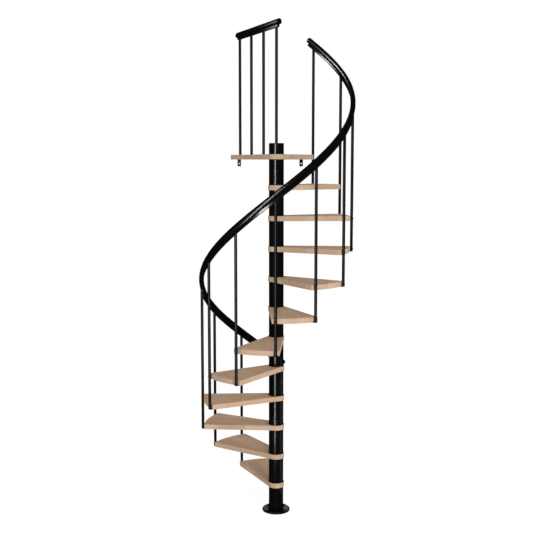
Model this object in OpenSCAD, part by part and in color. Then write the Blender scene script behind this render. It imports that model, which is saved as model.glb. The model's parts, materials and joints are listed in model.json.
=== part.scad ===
/* [Climb] */
// Height from one tread to the next
rise = 230; // [200:1:240]
// Turn from one tread to the next, in degrees, counter-clockwise seen from above
turn = 29.86; // [27:0.01:32]
// Treads below the landing
tread_count = 11; // [9:1:12]
// Heading of the uppermost baluster, in degrees from +X towards the landing's back edge
last_heading = 58.35; // [54:0.05:62]

/* [Treads] */
// Radius of a tread's outer edge
tread_r = 555; // [500:1:700]
// Thickness of a tread and of the landing
tread_t = 38; // [30:1:45]
// Radius of a tread's round inner end
hub_r = 62; // [60:1:75]
// How far inside the hub's rim the straight edges of a tread meet it
edge_inset = 3; // [2:0.5:6]
// How far a tread's front corner reaches past the lower of its balusters
nosing_reach = 27; // [18:1:32]
// How far a tread's rear corner reaches past the upper of its balusters
rear_reach = 27; // [18:1:32]

/* [Column] */
// Outer diameter of the spacer sleeves
column_d = 112; // [100:1:118]
// Wall of a spacer sleeve
sleeve_wall = 4; // [2:0.5:8]
// Outer diameter of the inner pole that carries the treads
pole_d = 60; // [48:1:76]
// Wall of the inner pole
pole_wall = 4; // [2:0.5:8]
// Clearance between the pole and the bores of the treads
pole_clearance = 0.3; // [0.2:0.1:1]
// How far the column stands above the landing
column_head = 82; // [50:1:150]
// Thickness of the lid on the column's top
lid_t = 6; // [3:0.5:12]
// Radius of the rounded rim of the lid
lid_edge_r = 3; // [1:0.5:5]

/* [Base flange] */
// Diameter of the floor flange
flange_d = 212; // [190:1:260]
// Thickness of the floor flange
flange_t = 15; // [10:1:25]
// Radius of the flange's rounded rim
flange_edge_r = 6; // [1:0.5:9]
// Diameter of the circle of floor bolts
bolt_circle_d = 160; // [145:1:170]
// Diameter of a floor bolt hole
bolt_hole_d = 13; // [9:0.5:16]
// Number of floor bolts
bolt_count = 4; // [3:1:6]

/* [Balusters] */
// Diameter of a baluster
baluster_d = 22; // [14:0.5:26]
// Clearance between a baluster and the tread edge that it is screwed to
baluster_clearance = 0.2; // [0.1:0.1:0.8]
// Width of the foot plate that is let into the underside of a tread
foot_w = 34; // [24:1:44]
// Reach of the foot plate from the baluster's axis under the tread
foot_reach = 46; // [30:1:70]
// Thickness of the foot plate
foot_t = 5; // [2:0.5:8]

/* [Handrail] */
// Height of the handrail's top above the tread beside it
rail_height = 893; // [800:1:1000]
// Width of the moulded grip
grip_d = 38; // [34:1:50]
// Height of the moulded grip, crown to flat underside
grip_h = 42; // [34:1:50]
// Share of the grip's oval section that is left above its flat underside
grip_oval_share = 0.91; // [0.8:0.01:0.96]
// Width of the steel band under the grip
band_w = 20; // [14:1:24]
// Height of the steel band under the grip
band_h = 18; // [6:1:24]
// How far the handrail runs on below its first baluster
rail_foot_reach = 94; // [30:1:120]
// How far the handrail runs on past its last baluster
rail_head_reach = 34; // [28:1:90]
// How far the steel band stops short of the grip's ends
band_inset = 16; // [4:1:24]
// Clearance between the grip and the band, and between the band and a baluster's slanted top
rail_seat_clearance = 0.3; // [0.2:0.1:0.8]

/* [Landing] */
// Distance from the column's axis to the landing's back edge
landing_depth = 705; // [660:1:800]
// Distance from the uppermost baluster's axis back to the landing's right side
landing_right = 21.6; // [16:0.1:60]
// How far the landing's front corner reaches past the uppermost baluster
landing_reach = 12; // [8:1:30]
// Heading of the guard on the landing, in degrees from +X
guard_heading = 113.6; // [105:0.1:120]
// Distance between the first and the last baluster of the guard
guard_length = 725; // [600:1:730]
// Balusters of the guard, the last one on the column
guard_posts = 4; // [3:1:6]
// Height of the guard's top above the landing
guard_height = 985; // [900:1:1100]
// How far the guard's rail runs past its end balusters
guard_overhang = 48; // [28:1:60]

/* [Wall brackets] */
// Places of the brackets along the back edge, from the column's axis
bracket_places = [-300, 211];
// Width of a bracket
bracket_w = 29; // [20:1:50]
// Thickness of a bracket's plate
bracket_t = 5; // [3:0.5:8]
// Drop of a bracket below the landing
bracket_drop = 56; // [45:1:90]
// Reach of a bracket's flat leg under the landing
bracket_reach = 48; // [30:1:80]
// Diameter of the bracket's bolt hole
bracket_hole_d = 10; // [6:0.5:13]
// Depth of the bolt hole below the landing
bracket_hole_depth = 33; // [25:1:36]

/* [Hidden] */
$fn = 96;
steel_black = [0.05, 0.05, 0.055];
beech = [0.83, 0.70, 0.55];
grip_black = [0.03, 0.03, 0.035];
// How far a cutting shape runs past what it cuts
overrun = 1;
// Sides of the round part of the grip, rings along the handrail, and rings of its domed ends
crown_steps = 14;
rail_rings = 68;
dome_steps = 4;
rim_steps = 5;

column_r = column_d / 2;
pole_r = pole_d / 2;
flange_r = flange_d / 2;
baluster_r = baluster_d / 2;
grip_r = grip_d / 2;
// Half the height of the grip's oval section
grip_oval_r = grip_h / grip_oval_share / 2;
landing_z = rise * (tread_count + 1);
edge_r = hub_r - edge_inset;
// Radius of the ring on which the balusters stand, just outside the treads
ring_r = tread_r + baluster_clearance + baluster_r;
rail_depth = grip_h + band_h;
rail_slope = atan(rise / (ring_r * turn * PI / 180));
guard_spacing = guard_length / (guard_posts - 1);
guard_rail_z = landing_z + guard_height;

function two_digits(n) = str(n < 10 ? "0" : "", n);
function spacer_name(n) = str("spacer_", two_digits(n));
function tread_name(n) = str("tread_", two_digits(n));
function baluster_name(n) = str("baluster_", two_digits(n));

function polar(r, heading) = [r * cos(heading), r * sin(heading)];
function baluster_heading(n) = last_heading - (tread_count - n) * turn;
function tread_heading(n) = baluster_heading(n) - turn / 2;
function tread_top(n) = n * rise;
// Height of the handrail's crown over baluster n
function rail_top(n) = tread_top(n + 1) + rail_height;

// Half outline of a disc whose upper rim is rounded
function rim_outline(r, h, edge) = concat(
    [[0, 0], [r, 0]],
    [for (i = [0:rim_steps]) [r - edge, h - edge] + polar(edge, i * 90 / rim_steps)],
    [[0, h]]
);

module tube(outer_r, inner_r, h) {
    difference() {
        cylinder(r = outer_r, h = h);
        translate([0, 0, -overrun])
            cylinder(r = inner_r, h = h + 2 * overrun);
    }
}

// Round bore through a board for the inner pole
module pole_bore(h) {
    translate([0, 0, -overrun])
        cylinder(r = pole_r + pole_clearance, h = h + 2 * overrun);
}

// Floor flange with a rounded rim and a ring of bolt holes
module base_flange() {
    color(steel_black)
        difference() {
            rotate_extrude()
                polygon(rim_outline(flange_r, flange_t, flange_edge_r));
            for (i = [0:bolt_count - 1])
                rotate((i + 0.5) * 360 / bolt_count)
                    translate([bolt_circle_d / 2, 0, -overrun])
                        cylinder(d = bolt_hole_d, h = flange_t + 2 * overrun);
        }
}

// Inner pole from the flange to the lid, threaded through every tread
module centre_pole() {
    color(steel_black)
        translate([0, 0, flange_t])
            tube(pole_r, pole_r - pole_wall, landing_z + column_head - lid_t - flange_t);
}

// Sleeve below tread n that keeps it at its height
module spacer(n) {
    foot_z = n == 1 ? flange_t : tread_top(n - 1);
    color(steel_black)
        translate([0, 0, foot_z])
            tube(column_r, column_r - sleeve_wall, tread_top(n) - tread_t - foot_z);
}

// Lidded sleeve on the landing that closes the column
module column_head() {
    color(steel_black)
        translate([0, 0, landing_z])
            difference() {
                rotate_extrude()
                    polygon(rim_outline(column_r, column_head, lid_edge_r));
                translate([0, 0, -overrun])
                    cylinder(r = column_r - sleeve_wall, h = column_head - lid_t + overrun);
            }
}

// Angle at the axis that a length along the treads' outer edge takes up
function reach_angle(reach) = asin(reach / tread_r);

// Where the straight edge that ends at an outer corner passes closest to the axis
function edge_foot(corner_heading, side) =
    polar(edge_r, corner_heading + side * acos(edge_r / tread_r));

// Wedge with straight sides that run from the hub through the outer corners and a little on
module tread_outline() {
    rear_heading = turn / 2 + reach_angle(rear_reach);
    front_heading = -turn / 2 - reach_angle(nosing_reach);
    rear_foot = edge_foot(rear_heading, 1);
    front_foot = edge_foot(front_heading, -1);
    run_on = 1 + overrun / tread_r;
    polygon([
        rear_foot,
        rear_foot + (polar(tread_r, rear_heading) - rear_foot) * run_on,
        [tread_r / cos(max(rear_heading, -front_heading)) + overrun, 0],
        front_foot + (polar(tread_r, front_heading) - front_foot) * run_on,
        front_foot
    ]);
}

// Recess at the rear corner of a tread's underside that takes a baluster's foot plate
module foot_pocket() {
    pocket_w = foot_w + 2 * baluster_clearance;
    rotate(turn / 2)
        translate([ring_r - foot_reach - baluster_clearance, -pocket_w / 2, -overrun])
            cube([foot_reach, pocket_w, foot_t + overrun]);
}

// Wedge-shaped board with a round inner end and an arc for its outer edge
module tread(n) {
    color(beech)
        translate([0, 0, tread_top(n) - tread_t])
            rotate(tread_heading(n))
                difference() {
                    union() {
                        cylinder(r = hub_r, h = tread_t);
                        intersection() {
                            linear_extrude(tread_t)
                                tread_outline();
                            translate([0, 0, -overrun])
                                cylinder(r = tread_r, h = tread_t + 2 * overrun);
                        }
                    }
                    pole_bore(tread_t);
                    foot_pocket();
                }
}

// Board at the top: one side follows the stair, one the guard, and the back edge meets the floor
module landing() {
    corner_heading = baluster_heading(tread_count) - reach_angle(landing_reach);
    right_x = polar(ring_r, baluster_heading(tread_count)).x - landing_right;
    along_guard = polar(1, guard_heading);
    left_foot = polar(edge_r, guard_heading + 90);
    left_run = (landing_depth - left_foot.y) / along_guard.y;
    color(beech)
        translate([0, 0, landing_z - tread_t])
            difference() {
                union() {
                    cylinder(r = hub_r, h = tread_t);
                    linear_extrude(tread_t)
                        polygon([
                            edge_foot(corner_heading, -1),
                            polar(tread_r, corner_heading),
                            [right_x, sqrt(pow(tread_r, 2) - pow(right_x, 2))],
                            [right_x, landing_depth],
                            left_foot + left_run * along_guard,
                            left_foot
                        ]);
                }
                pole_bore(tread_t);
            }
}

// Angle plate under the landing's back edge, with one bolt hole in its hanging leg
module wall_bracket() {
    difference() {
        union() {
            translate([-bracket_w / 2, -bracket_reach, -bracket_t])
                cube([bracket_w, bracket_reach, bracket_t]);
            translate([-bracket_w / 2, -bracket_t, -bracket_drop])
                cube([bracket_w, bracket_t, bracket_drop]);
        }
        translate([0, overrun, -bracket_hole_depth])
            rotate([90, 0, 0])
                cylinder(d = bracket_hole_d, h = bracket_t + 2 * overrun);
    }
}

module wall_brackets() {
    color(steel_black)
        for (place = bracket_places)
            translate([place, landing_depth, landing_z - tread_t])
                wall_bracket();
}

// Round bar on a foot plate, its top cut to the slope of the handrail
module baluster(n) {
    foot_z = n == 0 ? 0 : tread_top(n) - tread_t;
    seat_z = rail_top(n) - rail_depth / cos(rail_slope) - rail_seat_clearance;
    color(steel_black)
        rotate(baluster_heading(n))
            translate([ring_r, 0, 0])
                difference() {
                    union() {
                        translate([0, 0, foot_z])
                            cylinder(r = baluster_r, h = seat_z + baluster_d - foot_z);
                        translate([-foot_reach, -foot_w / 2, foot_z])
                            cube([foot_reach, foot_w, foot_t]);
                    }
                    translate([0, 0, seat_z])
                        rotate([rail_slope, 0, 0])
                            translate([-baluster_d, -baluster_d * 2, 0])
                                cube(baluster_d * [2, 4, 4]);
                }
}

// Section of the moulded grip: an upright oval that ends in a flat underside
function grip_section() =
    let (low = asin(2 * grip_oval_share - 1))
    [for (i = [0:crown_steps])
        let (a = -low + i * (180 + 2 * low) / crown_steps)
        [grip_r * cos(a), grip_oval_r * (sin(a) - 1)]];

// Section of the flat steel band, close under the grip
function band_section() =
    let (top = -grip_h - rail_seat_clearance)
    [[band_w / 2, -rail_depth], [band_w / 2, top], [-band_w / 2, top], [-band_w / 2, -rail_depth]];

// Place of the section point p on the handrail, at t balusters along and ahead along the rail
function on_rail(p, t, ahead) =
    let (
        heading = baluster_heading(t),
        outward = [cos(heading), sin(heading), 0],
        forward = [-sin(heading) * cos(rail_slope), cos(heading) * cos(rail_slope), sin(rail_slope)],
        upright = [sin(heading) * sin(rail_slope), -cos(heading) * sin(rail_slope), cos(rail_slope)]
    )
    ring_r * outward + [0, 0, rail_top(t)] + p.x * outward + p.y * upright + ahead * forward;

// Closed skin over rings of points that all have the same number of points
module skin(rings) {
    n = len(rings[0]);
    last = len(rings) - 1;
    sides = [for (i = [0:last - 1], j = [0:n - 1], half = [0, 1])
        let (k = (j + 1) % n, a = i * n, b = (i + 1) * n)
        half == 0 ? [a + j, b + j, b + k] : [a + j, b + k, a + k]];
    ends = [[for (j = [0:n - 1]) j], [for (j = [n - 1:-1:0]) last * n + j]];
    polyhedron([for (ring = rings) each ring], concat(sides, ends));
}

// Share of the way between two balusters that a length along the rail takes up
function turns_of(reach) = reach * cos(rail_slope) / (ring_r * turn * PI / 180);
// Evenly spaced places along the rail, from and to a distance short of its ends
function rail_places(short) =
    let (
        start = -turns_of(rail_foot_reach - short),
        end = tread_count + turns_of(rail_head_reach - short)
    )
    [for (i = [0:rail_rings]) start + i * (end - start) / rail_rings];

// Steps of a domed end: how much the section shrinks and how far it lies ahead of the end
dome_share = 0.9;
dome_tip_share = 0.5;
dome_angles = [for (i = [1:dome_steps]) i * 90 / (dome_steps + dome_tip_share)];
function dome_ahead(a) = grip_r * dome_share * sin(a);
function grip_middle() = [0, -grip_h / 2];
function dome_section(a) = [for (p = grip_section()) grip_middle() + cos(a) * (p - grip_middle())];
function reversed(list) = [for (i = [len(list) - 1:-1:0]) list[i]];

// Steel band that follows the helix and joins the balusters' tops
module handrail_band() {
    color(steel_black)
        skin([for (t = rail_places(band_inset)) [for (p = band_section()) on_rail(p, t, 0)]]);
}

// Moulded grip on the band, with domed ends
module handrail() {
    places = rail_places(0);
    start = places[0];
    end = places[rail_rings];
    color(grip_black)
        skin(concat(
            [for (a = reversed(dome_angles)) [for (p = dome_section(a)) on_rail(p, start, -dome_ahead(a))]],
            [for (t = places) [for (p = grip_section()) on_rail(p, t, 0)]],
            [for (a = dome_angles) [for (p = dome_section(a)) on_rail(p, end, dome_ahead(a))]]
        ));
}

// Upright bars of the guard: the last one stands on the column's lid
module guard_balusters() {
    color(steel_black)
        rotate(guard_heading)
            for (i = [0:guard_posts - 1]) {
                foot_z = landing_z + (i == 0 ? column_head : 0);
                translate([i * guard_spacing, 0, foot_z])
                    cylinder(r = baluster_r, h = guard_rail_z - rail_depth - foot_z);
            }
}

// Place of the section point p on the guard's rail, at a distance along it from the column
function on_guard(p, along) =
    let (across = p.x * polar(1, guard_heading - 90) + along * polar(1, guard_heading))
    [across.x, across.y, guard_rail_z + p.y];

module guard_band() {
    ends = [band_inset - guard_overhang, guard_length + guard_overhang - band_inset];
    color(steel_black)
        skin([for (along = ends) [for (p = band_section()) on_guard(p, along)]]);
}

// Straight grip of the guard, with domed ends
module guard_rail() {
    start = -guard_overhang;
    end = guard_length + guard_overhang;
    color(grip_black)
        skin(concat(
            [for (a = reversed(dome_angles)) [for (p = dome_section(a)) on_guard(p, start - dome_ahead(a))]],
            [for (along = [start, end]) [for (p = grip_section()) on_guard(p, along)]],
            [for (a = dome_angles) [for (p = dome_section(a)) on_guard(p, end + dome_ahead(a))]]
        ));
}

base_flange();
centre_pole();
column_head();
for (n = [1:tread_count + 1])
    spacer(n);
for (n = [1:tread_count])
    tread(n);
landing();
wall_brackets();
for (n = [0:tread_count])
    baluster(n);
handrail_band();
handrail();
guard_balusters();
guard_band();
guard_rail();
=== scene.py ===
"""Looks of a spiral staircase: beech treads and a landing on a black steel column, with black rails."""
import json
import math

import bmesh
import bpy
from mathutils import Matrix, Quaternion, Vector

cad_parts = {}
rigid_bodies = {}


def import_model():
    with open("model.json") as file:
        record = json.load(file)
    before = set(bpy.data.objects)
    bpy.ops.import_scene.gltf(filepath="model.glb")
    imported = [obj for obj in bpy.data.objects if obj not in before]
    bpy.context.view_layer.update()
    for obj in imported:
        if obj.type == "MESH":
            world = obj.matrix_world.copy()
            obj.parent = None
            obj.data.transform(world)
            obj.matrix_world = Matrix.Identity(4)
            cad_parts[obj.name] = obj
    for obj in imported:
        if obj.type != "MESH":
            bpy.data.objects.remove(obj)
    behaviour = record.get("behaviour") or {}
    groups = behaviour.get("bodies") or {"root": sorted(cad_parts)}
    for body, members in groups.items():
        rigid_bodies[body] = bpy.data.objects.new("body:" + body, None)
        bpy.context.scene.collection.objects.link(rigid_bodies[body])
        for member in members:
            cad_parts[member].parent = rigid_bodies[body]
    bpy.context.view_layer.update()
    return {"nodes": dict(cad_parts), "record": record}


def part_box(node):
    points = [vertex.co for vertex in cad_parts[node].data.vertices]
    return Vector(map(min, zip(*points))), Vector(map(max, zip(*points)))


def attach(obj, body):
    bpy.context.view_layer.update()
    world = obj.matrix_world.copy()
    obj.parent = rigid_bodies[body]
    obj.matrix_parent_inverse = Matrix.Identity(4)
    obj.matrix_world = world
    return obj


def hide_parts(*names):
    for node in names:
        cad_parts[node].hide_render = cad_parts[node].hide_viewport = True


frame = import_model()
nodes = frame["nodes"]
record = frame["record"]

# Floor flange
# A turned steel disc with a rounded rim carries the column. It is powder coated black, as all the
# stair's steel is, and four button-head bolts on washers hold it to the floor.


def add(tree, kind, inputs=(), **settings):
    """New node in a tree, with its settings, and each of its inputs set or linked."""
    node = tree.nodes.new(kind)
    for label, value in settings.items():
        setattr(node, label, value)
    for label, value in dict(inputs).items():
        if isinstance(value, bpy.types.NodeSocket):
            tree.links.new(value, node.inputs[label])
        else:
            node.inputs[label].default_value = value
    return node


def maths(tree, operation, *values):
    """Output of a math node on numbers and sockets."""
    return add(tree, "ShaderNodeMath", dict(enumerate(values)), operation=operation).outputs[0]


def spread(tree, value, from_low, from_high, to_low=0.0, to_high=1.0):
    """Output of a node that maps one range of values to another and stops at its ends."""
    return add(tree, "ShaderNodeMapRange", {
        "Value": value, "From Min": from_low, "From Max": from_high, "To Min": to_low, "To Max": to_high,
    }).outputs["Result"]


def effect_group(name, inputs, outputs):
    """Empty shader node group, its own inputs, and the inputs of its output node."""
    group = bpy.data.node_groups.new(name, "ShaderNodeTree")
    for label, kind, value in inputs:
        group.interface.new_socket(label, in_out="INPUT", socket_type=kind).default_value = value
    for label, kind in outputs:
        group.interface.new_socket(label, in_out="OUTPUT", socket_type=kind)
    return group, group.nodes.new("NodeGroupInput").outputs, group.nodes.new("NodeGroupOutput").inputs


def coated(name, group, values, relief_depth):
    """Material that takes its colour, roughness and relief from an effect group, and its shader."""
    material = bpy.data.materials.new(name)
    material.use_nodes = True
    tree = material.node_tree
    shader = tree.nodes["Principled BSDF"]
    effect = add(tree, "ShaderNodeGroup", values, node_tree=group)
    relief = add(tree, "ShaderNodeBump", {"Distance": relief_depth, "Height": effect.outputs["Height"]})
    tree.links.new(effect.outputs["Color"], shader.inputs["Base Color"])
    tree.links.new(effect.outputs["Roughness"], shader.inputs["Roughness"])
    tree.links.new(relief.outputs["Normal"], shader.inputs["Normal"])
    return material, shader


FLOAT = "NodeSocketFloat"
COLOUR = "NodeSocketColor"
FINISH = (("Color", COLOUR), ("Roughness", FLOAT), ("Height", FLOAT))

coat, coat_in, coat_out = effect_group("black_coating", (
    ("Tone", COLOUR, (0.0030, 0.0030, 0.0032, 1.0)),
    ("Roughness", FLOAT, 0.50),
    ("Roughness Spread", FLOAT, 0.10),
    ("Peel Size", FLOAT, 0.0016),
    ("Cloud Size", FLOAT, 0.12),
), FINISH)
coat_place = add(coat, "ShaderNodeTexCoord").outputs["Object"]
peel = add(coat, "ShaderNodeTexNoise", {
    "Vector": coat_place, "Scale": maths(coat, "DIVIDE", 1.0, coat_in["Peel Size"]), "Detail": 2.0,
}).outputs["Fac"]
cloud = add(coat, "ShaderNodeTexNoise", {
    "Vector": coat_place, "Scale": maths(coat, "DIVIDE", 1.0, coat_in["Cloud Size"]), "Detail": 4.0,
}).outputs["Fac"]
coat_tone = add(coat, "ShaderNodeVectorMath", {
    0: coat_in["Tone"], "Scale": spread(coat, cloud, 0.3, 0.7, 0.8, 1.25),
}, operation="SCALE").outputs[0]
coat_sway = maths(coat, "MULTIPLY", maths(coat, "SUBTRACT", cloud, 0.5), coat_in["Roughness Spread"])
coat.links.new(coat_tone, coat_out["Color"])
coat.links.new(maths(coat, "ADD", coat_in["Roughness"], coat_sway), coat_out["Roughness"])
coat.links.new(peel, coat_out["Height"])


def black_coated(name, values, relief_depth, gloss):
    """Black finish whose gloss is weak, and about as weak at a slant as face-on."""
    material, shader = coated(name, coat, values, relief_depth)
    tree = material.node_tree
    slant_power = 4.0
    slant = add(tree, "ShaderNodeLayerWeight", {"Blend": 0.5}).outputs["Facing"]
    face_on = maths(tree, "POWER", maths(tree, "SUBTRACT", 1.0, slant), slant_power)
    tree.links.new(maths(tree, "MULTIPLY", face_on, gloss), shader.inputs["Specular IOR Level"])
    return material


peel_depth = 0.00001
black_steel = black_coated("black_powder_coat", {}, peel_depth, gloss=0.015)


def dress(node, material):
    """Gives a piece of the CAD frame its finish."""
    for slot in nodes[node].material_slots:
        slot.material = material


def circle(radius, z, sides):
    """Ring of points about Z."""
    angles = [2 * math.pi * i / sides for i in range(sides)]
    return [Vector((radius * math.cos(a), radius * math.sin(a), z)) for a in angles]


def skin(bm, rings, place=Matrix(), looped=False):
    """Quads over rings of points, closed by caps or by joining the last ring to the first."""
    made = [[bm.verts.new(place @ point) for point in ring] for ring in rings]
    if looped:
        made.append(made[0])
    else:
        bm.faces.new(list(reversed(made[0])))
        bm.faces.new(made[-1])
    for low, high in zip(made, made[1:]):
        for i in range(len(low)):
            bm.faces.new((low[i - 1], low[i], high[i], high[i - 1]))


def finish_piece(name, bm, material, place=Matrix(), replaced=()):
    """Turns a mesh in the making into a smooth piece that rides on the stair."""
    sharp_edge = math.radians(38)
    bmesh.ops.recalc_face_normals(bm, faces=bm.faces)
    mesh = bpy.data.meshes.new(name)
    bm.to_mesh(mesh)
    bm.free()
    mesh.shade_smooth()
    mesh.set_sharp_from_angle(angle=sharp_edge)
    mesh.materials.append(material)
    piece = bpy.data.objects.new(name, mesh)
    piece.matrix_world = place
    bpy.context.collection.objects.link(piece)
    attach(piece, "root")
    if replaced:
        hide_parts(*replaced)


def button_head(bm, place, head_r, head_h, key_r):
    """Domed screw head with a hexagon socket, standing on the place's XY plane."""
    sides = 24
    dome_steps = 5
    rim_share = 0.2
    crown_share = 1.35
    socket_share = 0.35
    crown_r = key_r * crown_share
    rings = [circle(head_r, 0.0, sides)]
    for i in range(dome_steps + 1):
        a = 0.5 * math.pi * i / dome_steps
        height = head_h * (rim_share + (1 - rim_share) * math.sin(a))
        rings.append(circle(crown_r + (head_r - crown_r) * math.cos(a), height, sides))
    socket = []
    for point in circle(key_r, head_h, sides):
        facet = math.atan2(point.y, point.x) % (math.pi / 3) - math.pi / 6
        socket.append(Vector((point.x / math.cos(facet), point.y / math.cos(facet), head_h)))
    rings += [socket, [Vector((p.x, p.y, head_h * socket_share)) for p in socket]]
    skin(bm, rings, place)


dress("base_flange", black_steel)

mounts = {mount["name"]: mount for mount in record["mounts"]}
floor_bolts = mounts["base_bolts"]["dims"]
bolt_ring_r = floor_bolts["pcd_mm"] / 2000
flange_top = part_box("base_flange")[1].z
washer_r = 0.0125
washer_t = 0.0025
washer_ease = 0.0008
washer_sides = 32
bolts = bmesh.new()
for i in range(floor_bolts["count"]):
    spin = Matrix.Rotation(2 * math.pi * (i + 0.5) / floor_bolts["count"], 4, "Z")
    spot = spin @ Matrix.Translation((bolt_ring_r, 0, flange_top))
    skin(bolts, [
        circle(washer_r, 0.0, washer_sides),
        circle(washer_r, washer_t - washer_ease, washer_sides),
        circle(washer_r - washer_ease, washer_t, washer_sides),
    ], spot)
    on_washer = spot @ Matrix.Translation((0, 0, washer_t))
    button_head(bolts, on_washer, head_r=0.0105, head_h=0.0066, key_r=0.004)
finish_piece("floor_bolts", bolts, black_steel)

# Column
# Steel sleeves, slipped over a hidden inner pole, hold the boards one rise apart. A lidded sleeve closes
# the top, and a moulded seating ring lies between each sleeve's end and the wood. The sleeves' coat shines.
gloss_steel = black_coated("black_gloss_coat", {"Roughness": 0.20}, peel_depth, gloss=0.020)
black_plastic = black_coated("black_moulded_grip", {
    "Tone": (0.0020, 0.0020, 0.0021, 1.0),
    "Roughness": 0.26,
    "Roughness Spread": 0.06,
    "Peel Size": 0.0009,
    "Cloud Size": 0.2,
}, peel_depth / 2, gloss=0.020)

sleeves = sorted(name for name in nodes if name.startswith("spacer_"))
for name in sleeves + ["centre_pole", "column_head"]:
    dress(name, gloss_steel)

sleeve_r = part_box(sleeves[1])[1].x
seat_proud = 0.0025
seat_h = 0.0045
flank_h = 0.0027
shoulder_h = 0.00405
shoulder_proud = 0.0015
seat_sides = 64
seats = bmesh.new()
for name in sleeves + ["column_head"]:
    foot_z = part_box(name)[0].z
    top_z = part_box(name)[1].z
    ends = []
    if name != sleeves[0]:
        ends.append((foot_z, 1))
    if name != "column_head":
        ends.append((top_z, -1))
    for z, up in ends:
        skin(seats, [
            circle(sleeve_r - seat_proud, z, seat_sides),
            circle(sleeve_r + seat_proud, z, seat_sides),
            circle(sleeve_r + seat_proud, z + up * flank_h, seat_sides),
            circle(sleeve_r + shoulder_proud, z + up * shoulder_h, seat_sides),
            circle(sleeve_r - seat_proud, z + up * seat_h, seat_sides),
        ], looped=True)
finish_piece("seating_rings", seats, black_plastic)

# Treads
# Each tread is a wedge-shaped board, glued up from beech staves that run out from the column, with eased
# edges and a clear satin lacquer. Its round inner end is clamped between two sleeves.
staves, staves_in, staves_out = effect_group("glued_beech_staves", (
    ("Light Stave", COLOUR, (0.70, 0.507, 0.36, 1.0)),
    ("Dark Stave", COLOUR, (0.545, 0.372, 0.247, 1.0)),
    ("Fleck", COLOUR, (0.38, 0.23, 0.12, 1.0)),
    ("Stave Width", FLOAT, 0.042),
    ("Stave Length", FLOAT, 0.36),
    ("Joint", FLOAT, 0.0006),
    ("Roughness", FLOAT, 0.55),
), FINISH)
shift_a_metre = 7.31
row_stagger = 5.0
stave_stride = 40.0
board_point = add(staves, "ShaderNodeTexCoord").outputs["Object"]
board_spot = add(staves, "ShaderNodeObjectInfo").outputs["Location"]
board_axes = add(staves, "ShaderNodeSeparateXYZ", {0: board_point}).outputs
board_height = add(staves, "ShaderNodeSeparateXYZ", {0: board_spot}).outputs["Z"]
across = maths(staves, "ADD", board_axes["Y"], maths(staves, "MULTIPLY", board_height, shift_a_metre))
rows = maths(staves, "DIVIDE", across, staves_in["Stave Width"])
row = maths(staves, "FLOOR", rows)
row_luck = add(staves, "ShaderNodeTexWhiteNoise", {"W": row}, noise_dimensions="1D").outputs["Value"]
along = maths(staves, "DIVIDE", board_axes["X"], staves_in["Stave Length"])
runs = maths(staves, "ADD", along, maths(staves, "MULTIPLY", row_luck, row_stagger))
stave = add(staves, "ShaderNodeCombineXYZ", {"X": row, "Y": maths(staves, "FLOOR", runs)}).outputs[0]
stave_luck = add(staves, "ShaderNodeTexWhiteNoise", {"Vector": stave}, noise_dimensions="3D").outputs
stave_shift = add(staves, "ShaderNodeVectorMath", {
    0: stave_luck["Color"], "Scale": stave_stride,
}, operation="SCALE").outputs[0]


def drawn_out(along_scale, across_scale):
    """Points of the board, squeezed so that a texture on them is drawn out along the stave."""
    squeezed = add(staves, "ShaderNodeVectorMath", {
        0: board_point, 1: (along_scale, across_scale, across_scale),
    }, operation="MULTIPLY").outputs[0]
    return add(staves, "ShaderNodeVectorMath", {0: squeezed, 1: stave_shift}, operation="ADD").outputs[0]


def grain(along_scale, across_scale, detail):
    """Streaks of the wood along the stave."""
    return add(staves, "ShaderNodeTexNoise", {
        "Vector": drawn_out(along_scale, across_scale), "Scale": 1.0, "Detail": detail, "Roughness": 0.6,
    }).outputs["Fac"]


def joint_line(places, size):
    """Mask of the thin glue line between neighbouring staves."""
    part = maths(staves, "FRACT", places)
    edge = maths(staves, "MINIMUM", part, maths(staves, "SUBTRACT", 1.0, part))
    half_joint = maths(staves, "MULTIPLY", staves_in["Joint"], 0.5)
    return maths(staves, "LESS_THAN", maths(staves, "MULTIPLY", edge, size), half_joint)


def blended(factor, colour_a, colour_b):
    """Output of a node that mixes two colours of the wood."""
    return add(staves, "ShaderNodeMix", {0: factor, 6: colour_a, 7: colour_b}, data_type="RGBA").outputs[2]


fine_grain = grain(7.0, 620.0, 3.0)
figure = grain(2.2, 42.0, 4.0)
rays = add(staves, "ShaderNodeTexVoronoi", {
    "Vector": drawn_out(150.0, 700.0), "Scale": 1.0,
}).outputs["Distance"]
fleck = spread(staves, rays, 0.10, 0.26, 0.45, 0.0)
side_joint = joint_line(rows, staves_in["Stave Width"])
end_joint = joint_line(runs, staves_in["Stave Length"])
joint = maths(staves, "MAXIMUM", side_joint, end_joint)
stave_part = maths(staves, "MULTIPLY", stave_luck["Value"], 0.55)
figure_part = maths(staves, "MULTIPLY", figure, 0.5)
grain_part = maths(staves, "MULTIPLY", fine_grain, 0.3)
darkness = maths(staves, "ADD", stave_part, maths(staves, "ADD", figure_part, grain_part))
wood = blended(spread(staves, darkness, 0.2, 1.15), staves_in["Light Stave"], staves_in["Dark Stave"])
flecked = blended(fleck, wood, staves_in["Fleck"])
jointed = blended(maths(staves, "MULTIPLY", joint, 0.5), flecked, staves_in["Fleck"])
lacquer = maths(staves, "ADD", staves_in["Roughness"], maths(staves, "MULTIPLY", figure, 0.08))
pores = maths(staves, "SUBTRACT", fine_grain, maths(staves, "ADD", fleck, joint))
staves.links.new(jointed, staves_out["Color"])
staves.links.new(lacquer, staves_out["Roughness"])
staves.links.new(pores, staves_out["Height"])

pore_depth = 0.00012
beech, beech_shader = coated("lacquered_beech", staves, {}, pore_depth)
beech_shader.inputs["Specular IOR Level"].default_value = 0.012

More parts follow.
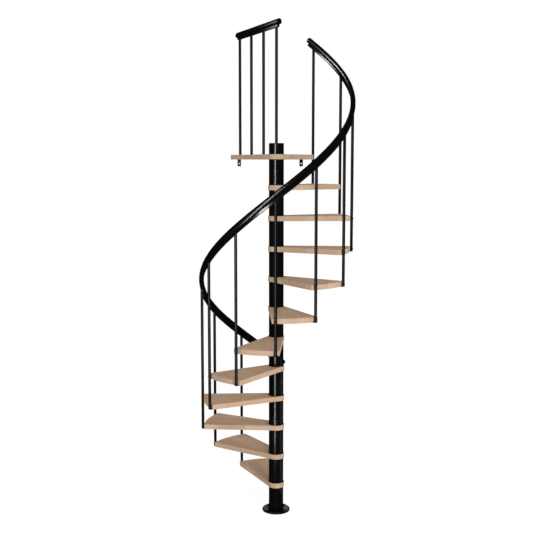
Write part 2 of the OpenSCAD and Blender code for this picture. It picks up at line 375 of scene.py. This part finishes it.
treads = sorted(name for name in nodes if name.startswith("tread_"))
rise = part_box(treads[1])[1].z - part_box(treads[0])[1].z
turn = math.radians(29.86)
last_heading = math.radians(58.35)
tread_r = 0.555
hub_r = 0.062
edge_r = 0.059
bore_r = 0.0303
corner_reach = 0.027
corner_round = 0.004
edge_ease = 0.003
hold = 0.0008


def baluster_heading(n):
    """Heading of baluster n, counted from the floor; n may be a fraction."""
    return last_heading - (len(treads) - n) * turn


def polar(radius, heading):
    """Point in plan at a radius and a heading."""
    return Vector((radius * math.cos(heading), radius * math.sin(heading)))


def heading_of(point):
    """Heading of a point in plan."""
    return math.atan2(point.y, point.x)


def at_height(points, z):
    """Ring of points in plan, raised to a height."""
    return [point.to_3d() + Vector((0, 0, z)) for point in points]


def rounded(chain, radius):
    """Chain of points with its sharp corners rounded, and a point held close to each round's ends."""
    round_steps = 5
    sharp = math.radians(20)
    points = [chain[0]]
    for before, corner, after in zip(chain, chain[1:], chain[2:]):
        back = (before - corner).normalized()
        ahead = (after - corner).normalized()
        bend = (-back).angle_signed(ahead)
        if abs(bend) < sharp:
            points.append(corner)
            continue
        reach = radius * math.tan(abs(bend) / 2)
        centre = corner + (back + ahead).normalized() * radius / math.cos(bend / 2)
        spoke = corner + back * reach - centre
        points.append(corner + back * (reach + hold))
        for i in range(round_steps + 1):
            points.append(centre + Matrix.Rotation(-bend * i / round_steps, 2) @ spoke)
        points.append(corner + ahead * (reach + hold))
    return points + [chain[-1]]


def inset(outline, distance):
    """Closed counter-clockwise outline moved inwards."""
    moved = []
    for i, point in enumerate(outline):
        come = (point - outline[i - 1]).normalized()
        go = (outline[(i + 1) % len(outline)] - point).normalized()
        miter = Vector((come.y + go.y, -come.x - go.x)) / (1 + come.dot(go))
        moved.append(point - distance * miter)
    return moved


def edge_start(corner, side):
    """Where the straight edge that ends at a board's corner leaves the round hub, and a point close by."""
    foot = polar(edge_r, heading_of(corner) + side * math.acos(edge_r / corner.length))
    direction = (corner - foot).normalized()
    start = foot + direction * math.sqrt(hub_r ** 2 - edge_r ** 2)
    return [start, start + direction * hold]


def board_outline(first, between, last):
    """Outline of a board from the hub by its first corner to its last, and back round the hub."""
    hub_steps = 44
    leave = edge_start(first, -1)
    back = edge_start(last, 1)
    points = rounded(leave + [first] + between + [last] + back[::-1], corner_round)
    start = heading_of(back[0])
    sweep = (heading_of(leave[0]) - start) % (2 * math.pi)
    return points + [polar(hub_r, start + sweep * i / hub_steps) for i in range(1, hub_steps)]


def make_board(name, node, outline, place):
    """Board with a bore for the pole and eased edges, in place of its CAD solid."""
    ease_steps = 4
    low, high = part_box(node)
    thickness = high.z - low.z
    rim = [(edge_ease + hold, 0.0)]
    for i in range(ease_steps + 1):
        a = 0.5 * math.pi * i / ease_steps
        rim.append((edge_ease * (1 - math.sin(a)), edge_ease * (1 - math.cos(a))))
    rim.append((0.0, edge_ease + hold))
    bore = [polar(bore_r, heading_of(point)) for point in outline]
    layers = [at_height(bore, 0.0), at_height(bore, thickness)]
    layers += [at_height(inset(outline, back), thickness - drop) for back, drop in rim]
    layers += [at_height(inset(outline, back), drop) for back, drop in reversed(rim)]
    bm = bmesh.new()
    skin(bm, layers, looped=True)
    finish_piece(name, bm, beech, Matrix.Translation((0, 0, low.z)) @ place, [node])


half_tread = turn / 2 + math.asin(corner_reach / tread_r)
arc_steps = 18
nosing = [polar(tread_r, half_tread * (2 * i / arc_steps - 1)) for i in range(arc_steps + 1)]
tread_outline = board_outline(nosing[0], nosing[1:-1], nosing[-1])
for n, node in enumerate(treads, 1):
    facing = Matrix.Rotation(baluster_heading(n) - turn / 2, 4, "Z")
    make_board(f"beech_{node}", node, tread_outline, facing)

# Landing
# The top board is glued up from the same beech. One side follows the stair, one runs below the guard, and
# the back edge meets the upper floor, where two steel angle brackets with screws and a bolt hole hold it.
landing_low, landing_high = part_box("landing")
landing_reach = 0.012
landing_corner = polar(tread_r, baluster_heading(len(treads)) - math.asin(landing_reach / tread_r))
back_points = [v.co for v in nodes["landing"].data.vertices if v.co.y > landing_high.y - edge_ease]
landing_right = max(point.x for point in back_points)
landing_outline = board_outline(landing_corner, [
    Vector((landing_right, math.sqrt(tread_r ** 2 - landing_right ** 2))),
    Vector((landing_right, landing_high.y)),
], Vector((landing_low.x, landing_high.y)))
make_board("beech_landing", "landing", landing_outline, Matrix())

dress("wall_brackets", black_steel)
bracket_bolts = mounts["bracket_bolts"]
bracket_mid = bracket_bolts["pos_m"][0]
bracket_half = bracket_bolts["dims"]["spacing_x_mm"] / 2000
bracket_leg_t = 0.005
downward = Matrix.Rotation(math.pi, 4, "X")
bracket_screws = bmesh.new()
for x in (bracket_mid - bracket_half, bracket_mid + bracket_half):
    for from_back in (0.018, 0.036):
        spot = Matrix.Translation((x, landing_high.y - from_back, landing_low.z - bracket_leg_t))
        button_head(bracket_screws, spot @ downward, head_r=0.0042, head_h=0.0022, key_r=0.0016)
finish_piece("bracket_screws", bracket_screws, black_steel)

# Balusters
# A round steel bar stands at each outer corner of the treads, with a button-head screw into each tread edge
# that it passes. Its foot plate is let into the underside of the lower tread and held by two screws.
baluster_r = 0.011
bar_gap = 0.0002
ring_r = tread_r + bar_gap + baluster_r
rail_slope = math.atan(rise / (ring_r * turn))
foot_w = 0.034
foot_reach = 0.046
foot_t = 0.005
foot_ease = 0.00075
foot_proud = 0.0004
bar_ease = 0.0015
bar_chamfer = 0.00045
bar_sides = 32
screw_sunk = 0.0006
balusters = sorted(name for name in nodes if name.startswith("baluster_"))
board_t = landing_high.z - landing_low.z
plate_outline = rounded([
    Vector((0, -foot_w / 2)),
    Vector((0, foot_w / 2)),
    Vector((-foot_reach, foot_w / 2)),
    Vector((-foot_reach, -foot_w / 2)),
    Vector((0, -foot_w / 2)),
], corner_round)[:-1]
outward = Matrix.Rotation(math.pi / 2, 4, "Y")
baluster_screws = bmesh.new()
for n, node in enumerate(balusters):
    stand = Matrix.Rotation(baluster_heading(n), 4, "Z") @ Matrix.Translation((ring_r, 0, 0))
    foot_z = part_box(node)[0].z
    seat_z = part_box(node)[1].z - baluster_r * math.tan(rail_slope)
    plate_z = foot_z - (foot_proud if n else 0.0)
    bar_top = circle(baluster_r, seat_z, bar_sides)
    for point in bar_top:
        point.z += point.y * math.tan(rail_slope)
    bar = bmesh.new()
    skin(bar, [
        circle(baluster_r - bar_ease, plate_z, bar_sides),
        circle(baluster_r - bar_chamfer, plate_z + bar_chamfer, bar_sides),
        circle(baluster_r, plate_z + bar_ease, bar_sides),
        bar_top,
    ], stand)
    skin(bar, [
        at_height(inset(plate_outline, foot_ease), plate_z),
        at_height(plate_outline, plate_z + foot_ease),
        at_height(plate_outline, foot_z + foot_t),
    ], stand)
    finish_piece(f"bar_{node}", bar, black_steel, replaced=[node])
    passed_tops = [n * rise, (n + 1) * rise] if n else [rise]
    for top_z in passed_tops:
        spot = stand @ Matrix.Translation((baluster_r - screw_sunk, 0, top_z - board_t / 2))
        button_head(baluster_screws, spot @ outward, head_r=0.005, head_h=0.0032, key_r=0.0017)
    if n:
        for from_bar in (0.020, 0.036):
            spot = stand @ Matrix.Translation((-from_bar, 0, plate_z))
            button_head(baluster_screws, spot @ downward, head_r=0.0036, head_h=0.0012, key_r=0.0014)
finish_piece("baluster_screws", baluster_screws, black_steel)

# Handrail
# A flat steel band follows the helix and is welded to the tops of the balusters. A moulded black plastic
# grip with an oval crown is pushed on along it and ends in two domes.
grip_r = 0.019
grip_h = 0.042
grip_oval_share = 0.91
grip_edge_round = 0.002
band_w = 0.020
band_h = 0.018
band_inset = 0.016
rail_height = 0.893
rail_foot_reach = 0.094
rail_head_reach = 0.034
dome_reach = 0.0171
oval_r = grip_h / grip_oval_share / 2
crown_low = math.asin(2 * grip_oval_share - 1)
crown_steps = 30
crown_angles = [-crown_low + i * (math.pi + 2 * crown_low) / crown_steps for i in range(crown_steps + 1)]
crown = [Vector((grip_r * math.cos(a), oval_r * (math.sin(a) - 1))) for a in crown_angles]
underside = Vector((0, -grip_h))
grip_section = rounded([underside] + crown + [underside], grip_edge_round)[:-1]
groove = 0.0004
band_top = groove - grip_h
band_foot = Vector((0, -grip_h - band_h))
band_section = rounded([
    band_foot,
    band_foot + Vector((band_w / 2, 0)),
    Vector((band_w / 2, band_top)),
    Vector((-band_w / 2, band_top)),
    band_foot - Vector((band_w / 2, 0)),
    band_foot,
], bar_ease)[:-1]


def on_rail(point, t, ahead):
    """Place of a section point on the handrail, at t balusters along and a length ahead of there."""
    heading = baluster_heading(t)
    radial = polar(1, heading).to_3d()
    level = polar(1, heading + math.pi / 2).to_3d()
    forward = level * math.cos(rail_slope) + Vector((0, 0, math.sin(rail_slope)))
    upright = Vector((0, 0, math.cos(rail_slope))) - level * math.sin(rail_slope)
    middle = ring_r * radial + Vector((0, 0, (t + 1) * rise + rail_height))
    return middle + point.x * radial + point.y * upright + ahead * forward


def swept(section, station, start, end, steps):
    """Rings of a section at the stations of a rail from start to end."""
    spots = [start + i / steps * (end - start) for i in range(steps + 1)]
    return [[station(point, spot, 0.0) for point in section] for spot in spots]


def make_rails(band_name, grip_name, replaced, station, start, end, band_back, steps):
    """Band and domed grip of one rail, both swept through its stations from start to end."""
    dome_steps = 9
    band = bmesh.new()
    skin(band, swept(band_section, station, start + band_back, end - band_back, steps))
    finish_piece(band_name, band, gloss_steel, replaced=replaced[:1])
    middle = underside / 2
    domes = []
    for i in range(1, dome_steps):
        a = 0.5 * math.pi * i / dome_steps
        shrunk = [middle + math.cos(a) * (point - middle) for point in grip_section]
        domes.append((shrunk, dome_reach * math.sin(a)))
    rings = [[station(point, start, -ahead) for point in shrunk] for shrunk, ahead in reversed(domes)]
    rings += swept(grip_section, station, start, end, steps)
    rings += [[station(point, end, ahead) for point in shrunk] for shrunk, ahead in domes]
    grip = bmesh.new()
    skin(grip, rings)
    finish_piece(grip_name, grip, black_plastic, replaced=replaced[1:])


turns_a_metre = math.cos(rail_slope) / (ring_r * turn)
rail_start = -rail_foot_reach * turns_a_metre
rail_end = len(treads) + rail_head_reach * turns_a_metre
make_rails("helical_band", "helical_grip", ["handrail_band", "handrail"], on_rail, rail_start, rail_end,
           band_inset * turns_a_metre, steps=280)

# Guard
# Four round steel bars stand on the landing's edge and on the column's lid. They carry a short straight
# rail with the same steel band and moulded grip as the handrail.
dress("guard_balusters", black_steel)
guard_heading = math.radians(113.6)
guard_length = 0.725
guard_overhang = 0.048
guard_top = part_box("guard_rail")[1].z


def on_guard(point, along_guard, ahead):
    """Place of a section point on the guard's rail, at a distance along it from the column."""
    plan = polar(point.x, guard_heading - math.pi / 2) + polar(along_guard + ahead, guard_heading)
    return plan.to_3d() + Vector((0, 0, guard_top + point.y))


make_rails("guard_flat_band", "guard_grip", ["guard_band", "guard_rail"], on_guard,
           -guard_overhang, guard_length + guard_overhang, band_inset, steps=24)

# Studio
# The stair stands on a plain white floor before a white backdrop, in soft light from the front. Flagged
# lamps, a card and a strip behind, each for some of the black pieces, draw the lines of light in their gloss.
photo_w = 536
focal_px = 900.68
camera_pitch = 0.1173
camera_spot = (-0.0628, -6.785, 2.703)
white = (1.0, 1.0, 1.0, 1.0)
pale = (0.9, 0.9, 0.9, 1.0)
fill_level = 0.58
white_level = 1.0
floor_glow = 1.19
floor_glow_share = 0.75


def seen_directly(tree):
    """Mask of the rays that show the backdrop itself: to the camera, in gloss and through glass."""
    path = add(tree, "ShaderNodeLightPath").outputs
    shown = maths(tree, "ADD", path["Is Camera Ray"], path["Is Glossy Ray"])
    return maths(tree, "MINIMUM", maths(tree, "ADD", shown, path["Is Transmission Ray"]), 1.0)


scene = bpy.context.scene
scene.view_settings.view_transform = "Standard"

sky = bpy.data.worlds.new("white_backdrop")
sky.use_nodes = True
sky_tree = sky.node_tree
fill = add(sky_tree, "ShaderNodeBackground", {"Color": white, "Strength": fill_level})
backdrop = add(sky_tree, "ShaderNodeBackground", {"Color": white, "Strength": white_level})
sky_mix = add(sky_tree, "ShaderNodeMixShader", {
    0: seen_directly(sky_tree), 1: fill.outputs[0], 2: backdrop.outputs[0],
})
sky_tree.links.new(sky_mix.outputs[0], sky_tree.nodes["World Output"].inputs["Surface"])
scene.world = sky

floor_finish = bpy.data.materials.new("white_floor")
floor_finish.use_nodes = True
floor_tree = floor_finish.node_tree
paint = add(floor_tree, "ShaderNodeBsdfDiffuse", {"Color": pale})
glow = add(floor_tree, "ShaderNodeEmission", {"Color": white, "Strength": floor_glow})
floor_share = maths(floor_tree, "MULTIPLY", seen_directly(floor_tree), floor_glow_share)
floor_mix = add(floor_tree, "ShaderNodeMixShader", {0: floor_share, 1: paint.outputs[0], 2: glow.outputs[0]})
floor_tree.links.new(floor_mix.outputs[0], floor_tree.nodes["Material Output"].inputs["Surface"])

floor_r = 40.0
floor_z = -0.0005
floor_sides = 64
floor_mesh = bpy.data.meshes.new("studio_floor")
floor_rim = [tuple(point) for point in circle(floor_r, floor_z, floor_sides)]
floor_mesh.from_pydata(floor_rim, [], [tuple(range(floor_sides))])
floor_mesh.materials.append(floor_finish)
floor = bpy.data.objects.new("studio_floor", floor_mesh)
bpy.context.collection.objects.link(floor)


def add_lamp(name, spot, target, size, power, shown_in=(), grid=180, roll=0):
    """Rectangular lamp that faces a point. It lights the scene, or only shows in the gloss of some pieces."""
    lamp = bpy.data.lights.new(name, "AREA")
    lamp.shape = "RECTANGLE"
    lamp.size, lamp.size_y = size
    lamp.energy = power
    lamp.spread = math.radians(grid)
    holder = bpy.data.objects.new(name, lamp)
    holder.location = spot
    aim = (Vector(target) - Vector(spot)).to_track_quat("-Z", "Y")
    holder.rotation_euler = (aim @ Quaternion((0, 0, 1), math.radians(roll))).to_euler()
    holder.visible_camera = False
    holder.visible_diffuse = not shown_in
    holder.visible_glossy = bool(shown_in)
    if shown_in:
        flagged = bpy.data.collections.new(f"{name}_shows_in")
        for piece in shown_in:
            flagged.objects.link(bpy.data.objects[piece])
        holder.light_linking.receiver_collection = flagged
    bpy.context.collection.objects.link(holder)


def is_steel(piece):
    """Whether a piece is of coated steel."""
    return any(slot.material in (black_steel, gloss_steel) for slot in piece.material_slots)


bands = ["helical_band", "guard_flat_band"]
bars_and_column = [piece.name for piece in scene.objects if is_steel(piece) and piece.name not in bands]
sleeves_by_card = 6
lower_sleeves = [nodes[name].name for name in sleeves[:sleeves_by_card]]
add_lamp("front_softbox", (2.6, -7.1, 2.6), (0.0, 0.0, 1.7), (3.0, 3.0), 238.0)
add_lamp("column_strip", (-0.505, -1.5, 2.05), (0.0, 0.0, 2.05), (0.29, 4.0), 1180.0, bars_and_column)
add_lamp("back_strip", (0.0, 1.9, 2.05), (0.0, 0.0, 2.05), (0.34, 4.0), 1300.0, bars_and_column)
add_lamp("column_card", (0.4, -0.06, 0.56), (0.0, -0.06, 0.56), (0.28, 1.1), 15.0, lower_sleeves)
add_lamp("band_strip", (-0.46, -1.5, 2.1), (0.0, 0.0, 2.1), (0.3, 0.8), 368.0, ["helical_band"])
add_lamp("grip_strip", (-0.5, -1.5, 2.3), (0.0, 0.0, 2.3), (0.12, 2.2), 644.0, ["helical_grip"])
add_lamp("band_softbox", (-5.0, 0.6, 4.3), (0.4, 0.35, 3.6), (3.4, 0.9), 858.0, ["helical_band"], grid=40)
add_lamp("grip_softbox", (-0.61, 0.37, 4.0), (0.46, 0.33, 3.5), (0.55, 0.085), 170.0, ["helical_grip"],
         grid=70, roll=-51)
add_lamp("guard_softbox", (-0.57, 0.47, 3.83), (0.0, 0.0, 3.7), (0.12, 0.25), 28.0,
         ["guard_flat_band", "guard_grip"])

camera = bpy.data.objects.new("photo_camera", bpy.data.cameras.new("photo_camera"))
camera.data.lens = camera.data.sensor_width * focal_px / photo_w
camera.location = camera_spot
camera.rotation_euler = (math.pi / 2 - camera_pitch, 0.0, 0.0)
bpy.context.collection.objects.link(camera)
scene.camera = camera
